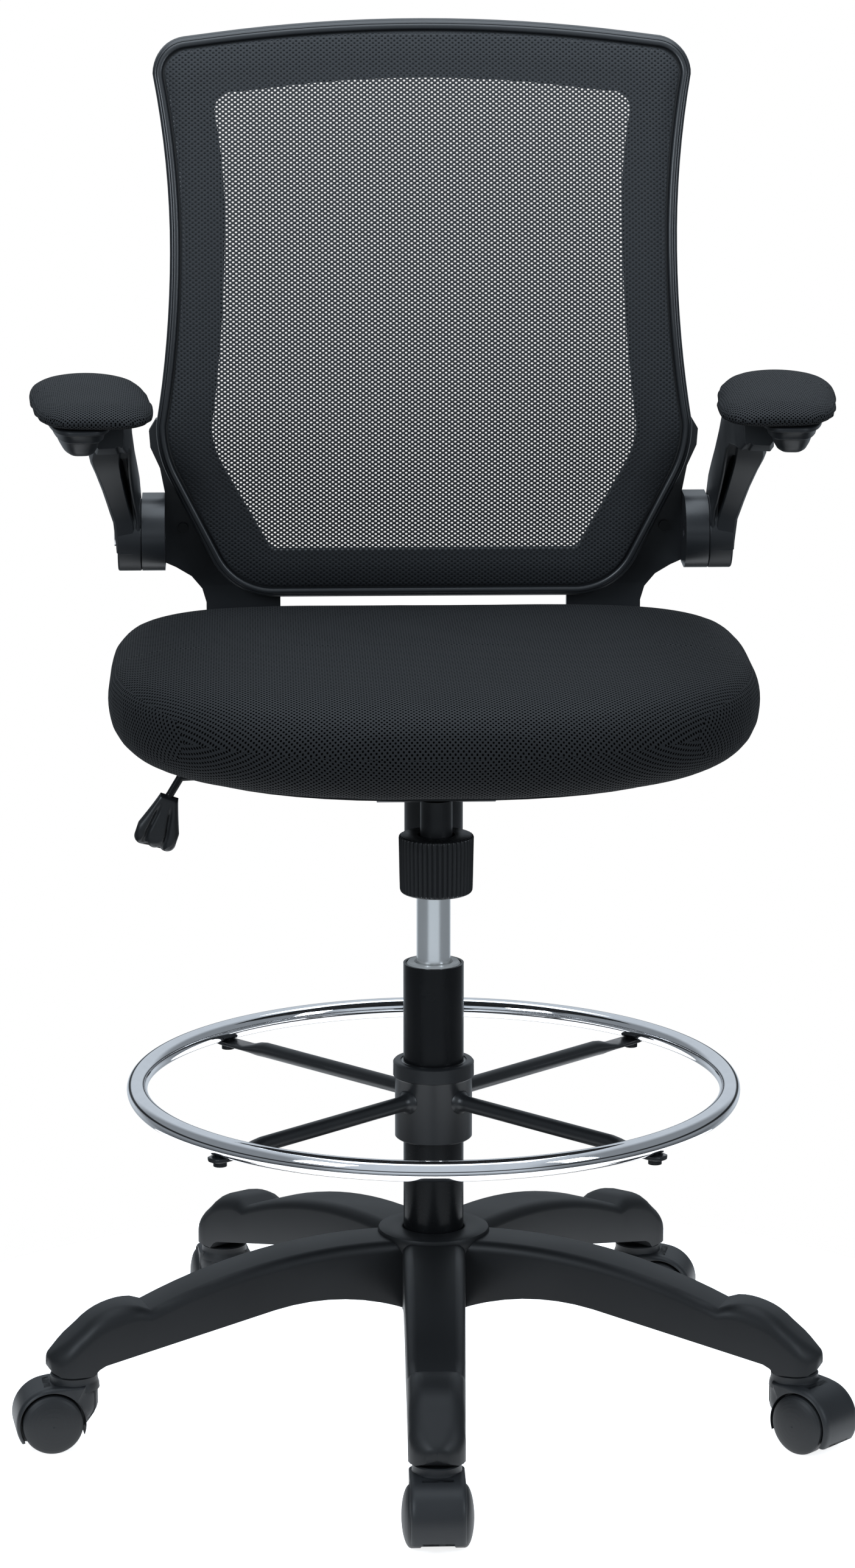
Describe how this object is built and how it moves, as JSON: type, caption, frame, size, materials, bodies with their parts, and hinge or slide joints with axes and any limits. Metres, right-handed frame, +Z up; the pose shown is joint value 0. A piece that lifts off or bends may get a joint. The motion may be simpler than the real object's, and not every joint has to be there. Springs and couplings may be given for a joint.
{
  "type": "drafting chair",
  "caption": "Tall swivel drafting chair with padded seat, mesh back, flip-up arms, foot ring and five-star caster base.",
  "frame": {"origin": "column axis at floor level", "axes": "+Z up the column, -Y to the front of the seat, +X to the sitter's left"},
  "size_m": [0.6953, 0.6764, 1.1325],
  "materials": {
    "base_nylon": "moulded glass-filled nylon, dark grey, fine texture",
    "caster_nylon": "moulded nylon, dark grey",
    "wheel_nylon": "hard nylon wheels, dark grey",
    "zinc_steel": "zinc-plated steel",
    "black_screws": "black oxide screws",
    "column_paint": "black powder coat",
    "housing_paint": "black powder coat",
    "cylinder_steel": "bright plated steel tube",
    "bush_plastic": "acetal guide bush, light grey",
    "ring_chrome": "bright chrome-plated tube",
    "ring_hub_plastic": "black moulded plastic",
    "control_plastic": "dark grey moulded plastic",
    "pan_plastic": "black moulded plastic",
    "seat_fabric": "black woven upholstery fabric",
    "back_plastic": "dark grey moulded plastic, satin",
    "back_mesh_fabric": "black open mesh cloth",
    "arm_plastic": "dark grey moulded plastic, satin",
    "arm_pad_skin": "black woven cover over a foam pad"
  },
  "bodies": {
    "base": {"star_base": "base_nylon", "column_tube": "column_paint", "guide_bush": "bush_plastic", "thrust_bearing": "zinc_steel", "caster_front_stem": "zinc_steel", "caster_right_stem": "zinc_steel", "caster_rear_right_stem": "zinc_steel", "caster_rear_left_stem": "zinc_steel", "caster_left_stem": "zinc_steel"},
    "spindle": {"piston_rod": "zinc_steel"},
    "lift": {"gas_cylinder": "cylinder_steel", "tilt_housing": "housing_paint", "tilt_pivot": "zinc_steel", "tension_spring": "zinc_steel"},
    "rocker": {"lever_rocker": "control_plastic"},
    "lever": {"lever_rod": "column_paint", "lever_handle": "control_plastic"},
    "valve": {"valve_pin": "zinc_steel"},
    "tension": {"tension_knob": "control_plastic"},
    "seat": {"tilt_plate": "column_paint", "seat_pan": "pan_plastic", "seat_cushion": "seat_fabric", "seat_screws": "black_screws", "back_bracket_left": "back_plastic", "back_bracket_right": "back_plastic", "back_frame": "back_plastic", "back_mesh": "back_mesh_fabric", "arm_left_pivot": "zinc_steel", "arm_right_pivot": "zinc_steel"},
    "arm_left": {"arm_left_bar": "arm_plastic", "arm_left_plate": "arm_plastic", "arm_left_pad": "arm_pad_skin"},
    "arm_right": {"arm_right_bar": "arm_plastic", "arm_right_plate": "arm_plastic", "arm_right_pad": "arm_pad_skin"},
    "ring_slide": {"ring_bush": "bush_plastic"},
    "ring": {"ring_hub": "ring_hub_plastic", "foot_ring": "ring_chrome", "ring_bolts": "black_screws"},
    "ring_clamp": {"ring_knob": "ring_hub_plastic"},
    "caster_front": {"caster_front_hood": "caster_nylon", "caster_front_axle": "zinc_steel"},
    "wheel_front_a": {"caster_front_wheel_a": "wheel_nylon"},
    "wheel_front_b": {"caster_front_wheel_b": "wheel_nylon"},
    "caster_right": {"caster_right_hood": "caster_nylon", "caster_right_axle": "zinc_steel"},
    "wheel_right_a": {"caster_right_wheel_a": "wheel_nylon"},
    "wheel_right_b": {"caster_right_wheel_b": "wheel_nylon"},
    "caster_rear_right": {"caster_rear_right_hood": "caster_nylon", "caster_rear_right_axle": "zinc_steel"},
    "wheel_rear_right_a": {"caster_rear_right_wheel_a": "wheel_nylon"},
    "wheel_rear_right_b": {"caster_rear_right_wheel_b": "wheel_nylon"},
    "caster_rear_left": {"caster_rear_left_hood": "caster_nylon", "caster_rear_left_axle": "zinc_steel"},
    "wheel_rear_left_a": {"caster_rear_left_wheel_a": "wheel_nylon"},
    "wheel_rear_left_b": {"caster_rear_left_wheel_b": "wheel_nylon"},
    "caster_left": {"caster_left_hood": "caster_nylon", "caster_left_axle": "zinc_steel"},
    "wheel_left_a": {"caster_left_wheel_a": "wheel_nylon"},
    "wheel_left_b": {"caster_left_wheel_b": "wheel_nylon"}
  },
  "joints": [
    {"name": "seat_swivel", "type": "hinge", "parent": "base", "child": "spindle", "pos_m": [0, 0, 0.3], "axis": [0, 0, 1], "continuous": true},
    {"name": "seat_height", "type": "slide", "parent": "spindle", "child": "lift", "axis": [0, 0, 1], "range_m": [-0.05, 0.15]},
    {"name": "lever_lift", "type": "hinge", "parent": "lift", "child": "rocker", "pos_m": [-0.0465, 0, 0.55], "axis": [0, 1, 0], "range_deg": [0, 5], "stiffness_Nm_per_rad": 3, "springref_deg": -11.46},
    {"name": "lever_pull", "type": "slide", "parent": "rocker", "child": "lever", "axis": [-1, 0, 0], "range_m": [0, 0.012]},
    {"name": "valve_press", "type": "slide", "parent": "lift", "child": "valve", "axis": [0, 0, -1], "range_m": [0, 0.0045], "stiffness_N_per_m": 200, "springref_m": -0.002},
    {"name": "tension_turn", "type": "hinge", "parent": "lift", "child": "tension", "pos_m": [0, -0.062, 0.48], "axis": [0, 0, 1], "range_deg": [-720, 720]},
    {"name": "tilt", "type": "hinge", "parent": "lift", "child": "seat", "pos_m": [0, -0.034, 0.552], "axis": [-1, 0, 0], "range_deg": [0, 10], "stiffness_Nm_per_rad": 180, "springref_deg": -20.05},
    {"name": "arm_left_flip", "type": "hinge", "parent": "seat", "child": "arm_left", "pos_m": [0.25, 0.215, 0.7055], "axis": [-1, 0, 0], "range_deg": [0, 90]},
    {"name": "arm_right_flip", "type": "hinge", "parent": "seat", "child": "arm_right", "pos_m": [-0.25, 0.215, 0.7055], "axis": [-1, 0, 0], "range_deg": [0, 90]},
    {"name": "foot_ring_height", "type": "slide", "parent": "base", "child": "ring_slide", "axis": [0, 0, 1], "range_m": [-0.065, 0.075]},
    {"name": "foot_ring_turn", "type": "hinge", "parent": "ring_slide", "child": "ring", "pos_m": [0, 0, 0.268], "axis": [0, 0, 1], "continuous": true},
    {"name": "ring_knob_turn", "type": "hinge", "parent": "ring", "child": "ring_clamp", "pos_m": [0, 0.05, 0.252], "axis": [0, 1, 0], "range_deg": [-360, 360]},
    {"name": "caster_front_swivel", "type": "hinge", "parent": "base", "child": "caster_front", "pos_m": [-0.00814, -0.31089, 0.06], "axis": [0, 0, 1], "continuous": true},
    {"name": "wheel_front_a_roll", "type": "hinge", "parent": "caster_front", "child": "wheel_front_a", "pos_m": [-0.00814, -0.33089, 0.025], "axis": [1, 0, 0], "continuous": true},
    {"name": "wheel_front_b_roll", "type": "hinge", "parent": "caster_front", "child": "wheel_front_b", "pos_m": [-0.00814, -0.33089, 0.025], "axis": [1, 0, 0], "continuous": true},
    {"name": "caster_right_swivel", "type": "hinge", "parent": "base", "child": "caster_right", "pos_m": [0.29316, -0.10381, 0.06], "axis": [0, 0, 1], "continuous": true},
    {"name": "wheel_right_a_roll", "type": "hinge", "parent": "caster_right", "child": "wheel_right_a", "pos_m": [0.30767, -0.11758, 0.025], "axis": [0.6884, 0.7254, 0], "continuous": true},
    {"name": "wheel_right_b_roll", "type": "hinge", "parent": "caster_right", "child": "wheel_right_b", "pos_m": [0.30767, -0.11758, 0.025], "axis": [0.6884, 0.7254, 0], "continuous": true},
    {"name": "caster_rear_right_swivel", "type": "hinge", "parent": "base", "child": "caster_rear_right", "pos_m": [0.18932, 0.24673, 0.06], "axis": [0, 0, 1], "continuous": true},
    {"name": "wheel_rear_right_a_roll", "type": "hinge", "parent": "caster_rear_right", "child": "wheel_rear_right_a", "pos_m": [0.20892, 0.24275, 0.025], "axis": [0.1994, 0.9799, 0], "continuous": true},
    {"name": "wheel_rear_right_b_roll", "type": "hinge", "parent": "caster_rear_right", "child": "wheel_rear_right_b", "pos_m": [0.20892, 0.24275, 0.025], "axis": [0.1994, 0.9799, 0], "continuous": true},
    {"name": "caster_rear_left_swivel", "type": "hinge", "parent": "base", "child": "caster_rear_left", "pos_m": [-0.17615, 0.2563, 0.06], "axis": [0, 0, 1], "continuous": true},
    {"name": "wheel_rear_left_a_roll", "type": "hinge", "parent": "caster_rear_left", "child": "wheel_rear_left_a", "pos_m": [-0.17807, 0.27621, 0.025], "axis": [-0.9954, -0.0958, 0], "continuous": true},
    {"name": "wheel_rear_left_b_roll", "type": "hinge", "parent": "caster_rear_left", "child": "wheel_rear_left_b", "pos_m": [-0.17807, 0.27621, 0.025], "axis": [-0.9954, -0.0958, 0], "continuous": true},
    {"name": "caster_left_swivel", "type": "hinge", "parent": "base", "child": "caster_left", "pos_m": [-0.29819, -0.08833, 0.06], "axis": [0, 0, 1], "continuous": true},
    {"name": "wheel_left_a_roll", "type": "hinge", "parent": "caster_left", "child": "wheel_left_a", "pos_m": [-0.318, -0.09111, 0.025], "axis": [0.1392, -0.9903, 0], "continuous": true},
    {"name": "wheel_left_b_roll", "type": "hinge", "parent": "caster_left", "child": "wheel_left_b", "pos_m": [-0.318, -0.09111, 0.025], "axis": [0.1392, -0.9903, 0], "continuous": true}
  ],
  "couplings": [
    {"joint": "valve_press", "follows": "lever_lift", "m_per_rad": 0.0465}
  ]
}
